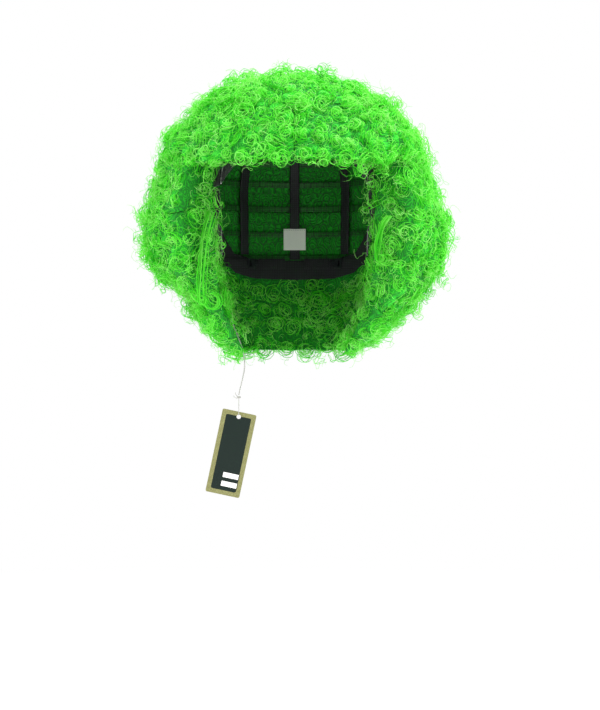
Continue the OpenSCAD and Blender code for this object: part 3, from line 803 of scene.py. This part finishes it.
def two_ply(path, ply_r, lay):
    """The two plies' own paths where they twist round a string's path, one turn in each lay."""
    path = np.asarray(path, float)
    run = np.concatenate([[0], np.cumsum(np.linalg.norm(np.diff(path, axis=0), axis=1))])
    fine = np.arange(0, run[-1], 0.45)
    line = np.stack([np.interp(fine, run, path[:, k]) for k in range(3)], 1)
    along = np.gradient(line, axis=0)
    along /= np.linalg.norm(along, axis=1)[:, None]
    side = np.cross(along, (0, 1, 0.01))
    side /= np.linalg.norm(side, axis=1)[:, None]
    other = np.cross(along, side)
    turn = (fine / lay * 2 * math.pi)[:, None]
    arm = ply_r * (np.cos(turn) * side + np.sin(turn) * other)
    return line + arm, line - arm


def tag_string(cotton):
    """The string from the cap to the knot: two plies of cotton, twisted."""
    ply_r = STRING_D / 4
    paths = two_ply(rounded(STRING_ROUTE, 12), ply_r, 3.2)
    plies = [tube("ply", path, ply_r * 1.05, 6, cotton) for path in paths]
    string = joined("twisted_string", plies)
    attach(string, "root")
    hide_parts("tag_string")
    return string


def tag_loop(cotton):
    """The knot, its two tails, and the loop that runs through the card's hole."""
    t = np.linspace(0, 2 * math.pi, 61)[:-1]
    knot = np.stack([
        np.sin(t) + 2 * np.sin(2 * t), np.cos(t) - 2 * np.cos(2 * t), -1.2 * np.sin(3 * t),
    ], 1) * KNOT_R * 0.3 + KNOT_POS
    down = np.linspace(-1, 1, 41)
    half_w = 2.6
    under = KNOT_R * 0.4
    drop = 2 * (LOOP_R + 0.1) + KNOT_R - under + 0.3
    loop = KNOT_POS + np.stack([
        np.zeros(41), half_w * np.sin(down * math.pi) * (0.75 + 0.25 * np.cos(down * math.pi)),
        -under - drop * np.cos(down * math.pi / 2) ** 0.85,
    ], 1)
    tail_a = KNOT_POS + rounded([(0, 0, 0), (-1.6, -0.6, -0.8), (-3.4, -0.8, -0.2), (-5.0, -1.2, 1.2)], 6)
    tail_b = KNOT_POS + rounded([(0, 0, 0), (-1.2, 0.8, 0.8), (-2.6, 1.0, 2.4), (-3.2, 0.6, 4.2)], 6)
    pieces = [tube("knot", knot, 0.55, 6, cotton, closed=True)]
    pieces += [tube("loop", p, 0.2, 5, cotton) for p in two_ply(loop, 0.18, 2.4)]
    pieces += [tube("tail", p, 0.28, 5, cotton) for p in (tail_a, tail_b)]
    knotted = joined("string_knot_and_loop", pieces)
    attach(knotted, "tag_loop")
    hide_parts("tag_loop")
    return knotted


# ---- Cap ----

def stitches(tree, path, thread, pitch=2.5, length=1.9, slant=0.0, radius=0.17):
    """A row of stitches along a path in millimetres."""
    mesh = bpy.data.meshes.new("stitch_path")
    mesh.from_pydata((np.asarray(path) * MM).tolist(), [(i, i + 1) for i in range(len(path) - 1)], [])
    source = bpy.data.objects.new("stitch_path", mesh)
    bpy.context.scene.collection.objects.link(source)
    return grown("stitches", source, tree, [{
        "Pitch": pitch * MM, "Length": length * MM, "Thread radius": radius * MM,
        "Slant": math.radians(slant), "Material": thread,
    }])


def finished(name, node, parts, body="root"):
    """Joins the parts of one sewn piece, which stands for its node."""
    piece = joined(name, parts)
    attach(piece, body)
    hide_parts(node)
    return piece


def bands(tree, cloth, elastic, thread):
    """The velvet brow and side bands and the ribbed elastic nape band, with their stitched hems."""
    for name, az0, az1 in (
        ("front_band", -57.6, 57.6), ("side_band_left", 58.4, 117.6), ("side_band_right", 242.4, 301.6),
    ):
        turns = turns_between(az0, az1, 2.0)
        parts = [strip(name, turns, rim_z(turns), band_z(turns), 0.0, BAND_T, cloth, rows=10, crown=0.12)]
        for z in (rim_z(turns) + 1.6, rim_z(turns) + 2.8, band_z(turns) - 1.8):
            parts.append(stitches(tree, on_head(turns, el_of(z), -0.1), thread))
        finished("velvet_" + name, name, parts)
    turns = turns_between(118.4, 241.6, 0.4)
    parts = [strip("nape", turns, rim_z(turns), band_z(turns), 0.1, BAND_T - 0.2, elastic, rows=8,
                   ridge=0.1, pitch=1.6)]
    for z in (rim_z(turns) + 1.5, band_z(turns) - 1.5):
        parts.append(stitches(tree, on_head(turns, el_of(z), -0.1), thread, 2.4, 2.0, 35))
    finished("elastic_nape_band", "nape_band", parts)


def ribs(tree, ribbon, thread):
    """Grosgrain ribbons from the crown to the bands, stitched down both edges."""
    half = math.degrees(RIB_W / 2 / HEAD_HALF_W)
    for name, az in (
        ("rib_left", 104), ("rib_back_left", 142), ("rib_centre", 180),
        ("rib_back_right", 218), ("rib_right", 256),
    ):
        turns = np.linspace(az - half, az + half, 7)
        low = max(band_z(turns)) + 1.2
        high = CROWN_H * math.sin(math.radians(RIB_TOP_EL))
        parts = [strip(name, turns, low, high, 0.0, RIB_T, ribbon, rows=60)]
        heights = el_of(np.linspace(low + 1, high - 1, 60))
        for edge in (-0.82, 0.82):
            path = on_head(az + half * edge, heights, -0.08)
            parts.append(stitches(tree, path, thread, 2.2, 1.6, radius=0.14))
        finished("ribbon_" + name, name, parts)


def cap_net(tree, thread):
    """The stretch net: one knitted dome, with six-sided holes a few millimetres across."""
    ball = bmesh.new()
    bmesh.ops.create_icosphere(ball, subdivisions=5, radius=1.0)
    middle = NET_IN + NET_T / 2
    cut = []
    for v in ball.verts:
        x, y, z = v.co
        az = math.degrees(math.atan2(x, -y)) % 360
        el = math.degrees(math.asin(max(-1.0, min(1.0, z))))
        el = el if el > 0 else el * 1.6
        if el < el_of(rim_z(az) + 1.0):
            cut.append(v)
        else:
            v.co = Vector(on_head(az, el, middle)) * MM
    bmesh.ops.delete(ball, geom=cut, context="VERTS")
    mesh = bpy.data.meshes.new("dome")
    ball.to_mesh(mesh)
    ball.free()
    source = bpy.data.objects.new("dome", mesh)
    bpy.context.scene.collection.objects.link(source)
    net = grown("stretch_net", source, tree, [{"Thread radius": 0.2 * MM, "Material": thread}])
    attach(net, "root")
    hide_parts("cap_net")


def wefts(tree, fibre, thread):
    """Rows of weft: folded fibre under two rows of stitches, sewn round the net's outside."""
    rows = {
        "weft_crown": (92, 268, 62), "weft_fringe": (-60, 60, 34), "weft_top": (-85, 85, 52),
        "weft_temple_left": (64, 92, 12), "weft_temple_right": (268, 296, 12),
        "weft_back_1": (94, 266, 44), "weft_back_2": (96, 264, 26), "weft_back_3": (98, 262, 8),
        "weft_back_4": (106, 254, -14), "weft_back_5": (114, 246, -38), "weft_nape": (124, 236, -60),
    }
    for name, (az0, az1, z) in rows.items():
        turns = turns_between(az0, az1, 0.9)
        parts = [strip(name, turns, z, z + WEFT_H, WEFT_IN + 0.15, WEFT_T - 0.3, fibre, rows=4,
                       ridge=0.14, pitch=2.4)]
        line = turns_between(az0, az1, 3.0)
        for up in (0.25, 0.72):
            path = on_head(line, el_of(z + WEFT_H * up), WEFT_IN + 0.05)
            parts.append(stitches(tree, path, thread, 2.6, 2.2, 12, 0.16))
        finished("sewn_" + name, name, parts)


def tab_low(az):
    middle, half = (TAB_FROM + TAB_TO) / 2, (TAB_TO - TAB_FROM) / 2
    return -TAB_L + TAB_RISE * ((off_front(az) - middle) / half) ** 2


def ear_tabs(tree, cloth, thread, spring):
    """Two padded plies round a bendable stay, bound along the edge."""
    for side, az0, az1 in (("left", TAB_FROM, TAB_TO), ("right", 360 - TAB_TO, 360 - TAB_FROM)):
        turns = np.linspace(az0, az1, 25)
        low = tab_low(turns)
        outer = TAB_PLY_T + STAY_T + TAB_SLACK
        parts = [
            strip("ply", turns, low, TAB_TOP_Z, 0.0, TAB_PLY_T, cloth, rows=14, crown=0.1),
            strip("ply", turns, low, TAB_TOP_Z, outer, TAB_PLY_T, cloth, rows=14, crown=0.1),
        ]
        middle = (outer + TAB_PLY_T) / 2
        edge = [on_head(turns[0], el_of(z), middle) for z in np.linspace(TAB_TOP_Z - 1, low[0], 10)[:-1]]
        edge += list(on_head(turns, el_of(low), middle))
        edge += [on_head(turns[-1], el_of(z), middle) for z in np.linspace(low[-1], TAB_TOP_Z - 1, 10)[1:]]
        parts.append(tube("binding", edge, 0.85, 8, cloth))
        inset = np.linspace(az0 + 1.6, az1 - 1.6, 25)
        parts.append(stitches(tree, on_head(inset, el_of(tab_low(inset) + 2.2), -0.15), thread, 2.0, 1.5))
        body = "ear_tab_" + side
        finished("bound_" + body, body, parts, body)
        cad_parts["ear_stay_" + side].data.materials.clear()
        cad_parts["ear_stay_" + side].data.materials.append(spring)


def adjusters(tree, elastic, ribbon, thread, nylon):
    """Elastic straps with hooks at their ends, and the loop tapes that the hooks catch."""
    strap_in = -LAYER_GAP
    for side, way, start_az in (("left", 1, 0), ("right", -1, 360)):
        turns = start_az + way * turns_between(STRAP_FROM, STRAP_TO, 0.4)
        low, high = STRAP_Z - STRAP_W / 2, STRAP_Z + STRAP_W / 2
        parts = [strip("strap", turns, low, high, strap_in - STRAP_T + 0.1, STRAP_T - 0.2, elastic,
                       rows=8, ridge=0.09, pitch=1.5)]
        for az in (STRAP_FROM + 1.2, STRAP_FROM + 3.4):
            z = np.linspace(low + 0.8, high - 0.8, 6)
            path = on_head(start_az + way * az, el_of(z), strap_in - STRAP_T - 0.02)
            parts.append(stitches(tree, path, thread, 1.5, 1.4, 20, 0.16))
        strap = joined("elastic_strap_" + side, parts)
        start = on_head(start_az + way * (STRAP_FROM + 4), el_of(STRAP_Z), strap_in)
        end = on_head(start_az + way * (STRAP_TO - 2), el_of(STRAP_Z), strap_in)
        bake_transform(strap)
        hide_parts("strap_" + side)

        hook = new_copy("moulded_hook_" + side, "hook_" + side, nylon, 0.18)
        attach(hook, "hook_" + side)
        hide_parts("hook_" + side)

        tape_in = -LAYER_GAP
        turns = start_az + way * turns_between(TAPE_FROM, TAPE_TO, 1.0)
        low, high = STRAP_Z - TAPE_W / 2, STRAP_Z + TAPE_W / 2
        parts = [strip("tape", turns, low, high, tape_in - TAPE_T, TAPE_T, ribbon, rows=10)]
        pitch = (TAPE_TO - TAPE_FROM) / LOOP_BARS
        half = math.degrees(BAR_W / 2 / HEAD_HALF_W)
        for i in range(LOOP_BARS):
            middle = TAPE_FROM + pitch * (i + 0.5)
            turns = start_az + way * np.linspace(middle - half, middle + half, 7)
            bar_in = tape_in - TAPE_T - BAR_GAP
            parts.append(strip("bar", turns, low + 1, high - 1, bar_in - BAR_T, BAR_T, ribbon, rows=12))
        for z in (low + 0.7, high - 0.7):
            line = start_az + way * turns_between(TAPE_FROM + 0.5, TAPE_TO - 0.5, 1.5)
            path = on_head(line, el_of(z), tape_in - TAPE_T - 0.05)
            parts.append(stitches(tree, path, thread, 1.8, 1.4, radius=0.14))
        finished("woven_loop_tape_" + side, "loop_tape_" + side, parts)


def new_copy(name, node, material, bevel):
    """A moulded piece with a node's own shape and its edges rounded."""
    work = bmesh.new()
    work.from_mesh(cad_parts[node].data)
    bmesh.ops.remove_doubles(work, verts=work.verts, dist=0.01 * MM)
    bmesh.ops.dissolve_limit(work, angle_limit=math.radians(2), verts=work.verts, edges=work.edges)
    sharp = [e for e in work.edges if len(e.link_faces) == 2 and e.calc_face_angle() > math.radians(35)]
    bmesh.ops.bevel(work, geom=sharp, offset=bevel * MM, segments=2, profile=0.6, affect="EDGES")
    mesh = bpy.data.meshes.new(name)
    work.to_mesh(mesh)
    work.free()
    piece = bpy.data.objects.new(name, mesh)
    bpy.context.scene.collection.objects.link(piece)
    mesh.materials.append(material)
    return piece


def size_label(tree, satin, thread):
    """A blank satin label, stitched along its top edge."""
    turns = turns_between(LABEL_FROM, LABEL_TO, 1.0)
    top = LABEL_Z + LABEL_H
    parts = [strip("label", turns, LABEL_Z, top, -LAYER_GAP - LABEL_T, LABEL_T, satin, rows=20)]
    line = turns_between(LABEL_FROM + 0.8, LABEL_TO - 0.8, 2.0)
    path = on_head(line, el_of(top - 1.2), -LAYER_GAP - LABEL_T - 0.03)
    parts.append(stitches(tree, path, thread, 2.0, 1.4, radius=0.14))
    finished("satin_size_label", "size_label", parts)


# ---- Hair ----

def curl_bed(name, az0, az1, row, open_sides, material):
    """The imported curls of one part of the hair: a closed shell, bulged where curls gather.

    Its faces that show are marked free, for the ringlets to grow from."""
    el0, el1 = ROWS_EL[row], ROWS_EL[row + 1] - (ROW_GAP if row < 5 else 0)
    low_free, left_free, right_free = open_sides
    step, inset = 1.15, 4.0
    hem_inset = -4.0 if row == 4 else inset
    from_az = az0 + (inset if left_free else BUNDLE_GAP / 2)
    to_az = az1 - (inset if right_free else BUNDLE_GAP / 2)
    turns = np.linspace(from_az, to_az, max(8, round((az1 - az0) / step)))
    heights = np.linspace(el0 + (hem_inset if low_free else 0), el1, max(10, round((el1 - el0) / step)))
    shares = np.linspace(0, 1, 9)
    rows, cols, deep = len(heights), len(turns), len(shares)
    az, el = np.meshgrid(turns, heights)
    inner, outer = on_head(az, el, HAIR_IN + 0.8), on_hair(az, el)
    far = np.linalg.norm(outer - inner, axis=-1, keepdims=True)

    def bulge(points):
        """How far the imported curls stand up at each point, in millimetres."""
        found = []
        for p in points.reshape(-1, 3):
            near = voronoi(Vector(p) / 13.0)[0]
            found.append(min(1.0, (near[1] - near[0]) * 1.7))
        return np.array(found).reshape(points.shape[:-1])

    lump = bulge(outer)
    # The hair steps in above its right lower corner.
    notch = 15 * np.exp(-((outer[..., 2] + 104) / 20) ** 2) * np.exp(-((az % 360 - 272) / 30) ** 2)
    reach = (far[..., 0] - 9.5 - notch + 4.0 * lump) / far[..., 0]
    top = inner + (outer - inner) * reach[..., None]
    points = inner[:, :, None] + (top - inner)[:, :, None] * shares[None, None, :, None]
    used, faces, free = {}, [], []

    def face(corners, is_free):
        """A face between grid places (row, column, depth), which ringlets may grow from or not."""
        numbers = [(i * cols + j) * deep + k for i, j, k in corners]
        faces.append([used.setdefault(n, len(used)) for n in numbers])
        free.append(is_free)

    last, side, top_row = deep - 1, cols - 1, rows - 1
    for i in range(top_row):
        for j in range(side):
            low_enough = rim_z(turns[j] % 360) - 6
            seen = inner[i, j, 2] < low_enough and inner[i + 1, j, 2] < low_enough
            face([(i, j, last), (i, j + 1, last), (i + 1, j + 1, last), (i + 1, j, last)], True)
            face([(i, j, 0), (i + 1, j, 0), (i + 1, j + 1, 0), (i, j + 1, 0)], seen)
    for i in range(top_row):
        for k in range(last):
            face([(i, 0, k), (i, 0, k + 1), (i + 1, 0, k + 1), (i + 1, 0, k)], left_free)
            face([(i, side, k), (i + 1, side, k), (i + 1, side, k + 1), (i, side, k + 1)], right_free)
    for j in range(side):
        for k in range(last):
            face([(0, j, k), (0, j + 1, k), (0, j + 1, k + 1), (0, j, k + 1)], low_free)
            face([(top_row, j, k), (top_row, j, k + 1), (top_row, j + 1, k + 1), (top_row, j + 1, k)],
                 False)
    flat = points.reshape(-1, 3)
    order = sorted(used, key=used.get)
    mesh = bpy.data.meshes.new(name)
    mesh.from_pydata((flat[order] * MM).tolist(), [], faces)
    mesh.attributes.new("free", "BOOLEAN", "FACE").data.foreach_set("value", free)
    # Painted light and shade: darkest deep in the bed, palest on the tops of its bulges.
    lit = np.repeat(lump[:, :, None], deep, 2) * shares[None, None, :] ** 3
    rise = (0.05 + 0.45 * lit).reshape(-1)[order]
    mesh.attributes.new("rise", "FLOAT", "POINT").data.foreach_set("value", rise)
    work = bmesh.new()
    work.from_mesh(mesh)
    bmesh.ops.remove_doubles(work, verts=work.verts, dist=0.02 * MM)
    bmesh.ops.recalc_face_normals(work, faces=work.faces)
    work.to_mesh(mesh)
    work.free()
    mesh.shade_smooth()
    mesh.materials.append(material)
    bed = bpy.data.objects.new(name, mesh)
    bpy.context.scene.collection.objects.link(bed)
    return bed


# What each sort of curl is, under the first of its seeds: ringlets, small curls, flyaways.
# Each sort's last value is a painted-light level, which pales its fibres.
CURL_RUNS = {
    100: {
        "Spacing": 13.0 * MM, "Curl radius": 9.5 * MM, "Fibres": 7, "Turns": 1.6,
        "Fibre radius": 0.34 * MM, "Points": 22, "Tilt": 0.6, "Lift": 0.9, "Frizz": 1.2 * MM, "Painted light": 0.3,
    },
    200: {
        "Spacing": 10.6 * MM, "Curl radius": 6.0 * MM, "Fibres": 3, "Turns": 1.4,
        "Fibre radius": 0.27 * MM, "Points": 14, "Tilt": 1.2, "Lift": 1.4, "Frizz": 2.5 * MM, "Painted light": 0.4,
    },
    300: {
        "Spacing": 8.5 * MM, "Curl radius": 6.5 * MM, "Fibres": 1, "Turns": 1.1,
        "Fibre radius": 0.15 * MM, "Points": 12, "Tilt": 0.9, "Lift": 1.6, "Frizz": 3.0 * MM, "Painted light": 0.5,
    },
}

# Locks laid one by one on a part of the hair: turn, ends, width, hook radius, seed.
LOCKS = {
    "temple_right": [(303.5, ((-12, 0.15), (-50, 0.9)), 9, 6.5, 41)],
    "cheek_left": [(56, ((-12, 0.5), (-34, 0.3)), 6, 5, 42)],
    "fringe_left": [(24, ((26, 0.75), (18, 0.35)), 6, 5, 43)],
    "fringe_right": [(-30, ((30, 0.8), (19, 0.45)), 6, 5, 44)],
}


def lock(az, ends, width, hook_r, seed, fibre):
    """A lock of fibres side by side, down the hair's edge at az and hooked back at its tip.

    ends gives, top then bottom, the angle on the head and the share of the way out."""
    luck = np.random.default_rng(seed)
    share = np.linspace(0, 1, 14)[:, None]
    (el0, out0), (el1, out1) = ends
    first = on_head(az, el0, HAIR_IN) * (1 - out0) + on_hair(az, el0) * out0
    last = on_head(az, el1, HAIR_IN) * (1 - out1) + on_hair(az, el1) * out1
    run = (last - first) / np.linalg.norm(last - first)
    aside = np.cross(run, (0, -1, 0))
    aside /= np.linalg.norm(aside)
    front = np.cross(aside, run)
    pieces = []
    for _ in range(16):
        off = luck.uniform(-0.5, 0.5) * width
        deep = luck.uniform(0, 0.35) * width
        sway = luck.uniform(-1, 1)
        bend = np.sin(share * math.pi) * (4 + sway) + np.sin(share * 2.6 * math.pi + sway) * 0.7
        line = first + (last - first) * share + aside * (off + bend) - front * deep
        turn = np.radians(np.linspace(0, 250 + 60 * sway, 14))[1:, None]
        r = hook_r * (0.75 + 0.25 * sway) - off * 0.6
        hook = line[-1] - aside * r * (1 - np.cos(turn)) + run * r * np.sin(turn) + front * 0.12 * r * turn
        thread = tube("fibre", np.concatenate([line, hook]), 0.34, 4, fibre)
        # A fixed painted-light level, on the same scale as the curls' painted light and shade, and a random
        # tone.
        for key, value in (("rise", 0.55), ("shade", luck.uniform())):
            found = thread.data.attributes.new(key, "FLOAT", "POINT").data
            found.foreach_set("value", [value] * len(found))
        pieces.append(thread)
    return joined("lock", pieces)


def hair(tree, fibre, packed):
    """The curls of each part of the hair, grown from its bed."""
    front, back = OPEN_AZ, SIDE_AZ
    parts = {
        "crown_front": (-90, 90, 5), "crown_back": (90, 270, 5),
        "fringe_left": (0, front, 4), "fringe_right": (-front, 0, 4),
        "top_left": (front, back, 4), "top_right": (360 - back, 360 - front, 4),
        "top_back": (back, 360 - back, 4),
        "temple_left": (front, back, 3), "temple_right": (360 - back, 360 - front, 3),
        "cheek_left": (front, back, 2), "cheek_right": (360 - back, 360 - front, 2),
        "jaw_left": (front, back, 1), "jaw_right": (360 - back, 360 - front, 1),
        "neck_left": (front, back, 0), "neck_right": (360 - back, 360 - front, 0),
        "back_upper": (back, 360 - back, 3), "back_middle": (back, 360 - back, 2),
        "back_lower": (back, 360 - back, 1), "nape": (back, 360 - back, 0),
    }
    for number, (name, (az0, az1, row)) in enumerate(parts.items()):
        low_free = row == 0 or (row == 4 and "fringe" in name)
        sides = (low_free, row < 4 and az0 == OPEN_AZ, row < 4 and az1 == 360 - OPEN_AZ)
        bed = curl_bed("bed", az0, az1, row, sides, packed)
        runs = [dict(values, Seed=seed + number, Material=fibre) for seed, values in CURL_RUNS.items()]
        curls = grown("curls_" + name, bed, tree, runs)
        if name in LOCKS:
            curls = joined("curls_" + name, [curls] + [lock(*values, fibre) for values in LOCKS[name]])
        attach(curls, "root")
        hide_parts("hair_" + name)


# ---- The wig ----

studio()
cotton = two_ply_cotton()
string, knotted = tag_string(cotton), tag_loop(cotton)
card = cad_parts["hang_tag"]
card.data.materials.clear()
card.data.materials.append(printed_card())

cloth, satin, spring = velvet(), polyester_satin(), moulded_nylon()
thread, elastic, ribbon = polyester_thread(), knitted_elastic(), grosgrain_ribbon()
sewing, netting, winding = stitch_tree(), net_tree(), ringlet_tree()
bands(sewing, cloth, elastic, thread)
ribs(sewing, ribbon, thread)
cap_net(netting, net_yarn())
wefts(sewing, folded_weft(), thread)
ear_tabs(sewing, cloth, thread, spring)
adjusters(sewing, elastic, ribbon, thread, spring)
size_label(sewing, satin, thread)
hair(winding, hair_fibre(), packed_curls())
